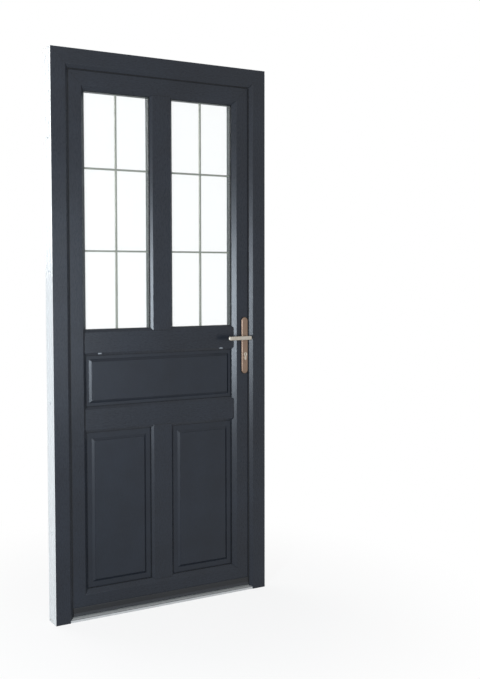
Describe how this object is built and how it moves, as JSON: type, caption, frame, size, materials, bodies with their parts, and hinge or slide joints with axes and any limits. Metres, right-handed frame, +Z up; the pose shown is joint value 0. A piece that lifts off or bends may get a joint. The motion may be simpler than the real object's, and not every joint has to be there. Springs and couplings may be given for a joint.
{
  "type": "pvc entrance door",
  "caption": "Single-leaf PVC entrance door in its frame, glazed above with thin internal bars, raised panels below, aluminium threshold, lever handle and lock.",
  "frame": {"origin": "on the floor line under the frame, at the middle of its width and of the frame's 70 mm depth", "axes": "+X to the right seen from outside, towards the lock side; +Y inwards, the way the leaf opens; +Z up"},
  "size_m": [0.96, 0.162, 2.185],
  "materials": {
    "pvc": "white PVC with a grained anthracite skin on the outer face",
    "panel": "grained anthracite skin outside, white inside",
    "steel": "zinc plated",
    "seal": "matt black",
    "dark_plastic": "matt",
    "aluminium": "mill satin",
    "spacer": "satin",
    "glazing_bar": "satin grey bronze",
    "glass": "clear",
    "cap": "light grey",
    "lever_satin": "satin nickel",
    "plate_satin": "satin bronze-grey",
    "cylinder_nickel": "satin nickel",
    "hinge_white": "white enamel"
  },
  "bodies": {
    "frame": {"frame_head": "pvc", "frame_jamb_hinge_side": "pvc", "frame_jamb_lock_side": "pvc", "frame_steel": "steel", "frame_seal": "seal", "threshold": "aluminium", "threshold_core": "dark_plastic", "threshold_end_blocks": "dark_plastic", "keep_middle": "steel", "keep_top": "steel", "keep_bottom": "steel", "frame_screws": "steel", "hinge_frame_top": "hinge_white", "hinge_frame_middle": "hinge_white", "hinge_frame_bottom": "hinge_white", "hinge_pins": "steel"},
    "lever": {"lever_outer": "lever_satin", "lever_inner": "lever_satin", "spindle": "steel", "follower": "steel"},
    "latch": {"latch_bolt": "steel"},
    "key_plug": {"cylinder_plug": "cylinder_nickel"},
    "bolts": {"dead_bolt": "steel", "end_bolts": "steel"},
    "rods": {"locking_rods": "steel"},
    "leaf": {"beads_glass": "pvc", "beads_panels": "pvc", "bottom_brush": "dark_plastic", "bottom_rail": "pvc", "cross_rail_lower": "pvc", "cross_rail_upper": "pvc", "drain_caps": "cap", "faceplate": "steel", "glass_left": "glass", "glass_right": "glass", "glazing_bars_left": "glazing_bar", "glazing_bars_right": "glazing_bar", "glazing_seals": "seal", "handle_plate_inner": "plate_satin", "handle_plate_outer": "plate_satin", "hinge_leaf_bottom": "hinge_white", "hinge_leaf_middle": "hinge_white", "hinge_leaf_top": "hinge_white", "leaf_screws": "steel", "leaf_seal": "seal", "leaf_steel": "steel", "lock_cases": "steel", "lock_cylinder": "cylinder_nickel", "mullion_lower": "pvc", "mullion_upper": "pvc", "panel_lower_left": "panel", "panel_lower_right": "panel", "panel_middle": "panel", "spacer_left": "spacer", "spacer_right": "spacer", "stile_hinge_side": "pvc", "stile_lock_side": "pvc", "top_rail": "pvc", "weather_bar": "dark_plastic"}
  },
  "joints": [
    {"name": "leaf_swing", "type": "hinge", "parent": "frame", "child": "leaf", "pos_m": [-0.453, 0.053, 0], "axis": [0, 0, 1], "range_deg": [0, 95]},
    {"name": "lever_turn", "type": "hinge", "parent": "leaf", "child": "lever", "pos_m": [0.386, 0, 1.073], "axis": [0, -1, 0], "range_deg": [0, 45], "stiffness_Nm_per_rad": 1, "springref_deg": -34.38},
    {"name": "latch_slide", "type": "slide", "parent": "leaf", "child": "latch", "axis": [-1, 0, 0], "range_m": [0, 0.0086]},
    {"name": "key_turn", "type": "hinge", "parent": "leaf", "child": "key_plug", "pos_m": [0.386, 0, 1.003], "axis": [0, 1, 0], "range_deg": [0, 360]},
    {"name": "bolt_throw", "type": "slide", "parent": "leaf", "child": "bolts", "axis": [1, 0, 0], "range_m": [0, 0.02]},
    {"name": "rod_lift", "type": "slide", "parent": "leaf", "child": "rods", "axis": [0, 0, 1], "range_m": [0, 0.0081]}
  ],
  "couplings": [
    {"joint": "latch_slide", "follows": "lever_turn", "m_per_rad": 0.01082},
    {"joint": "key_turn", "follows": "bolt_throw", "rad_per_m": 314.16},
    {"joint": "rod_lift", "follows": "bolt_throw", "ratio": 0.4}
  ]
}
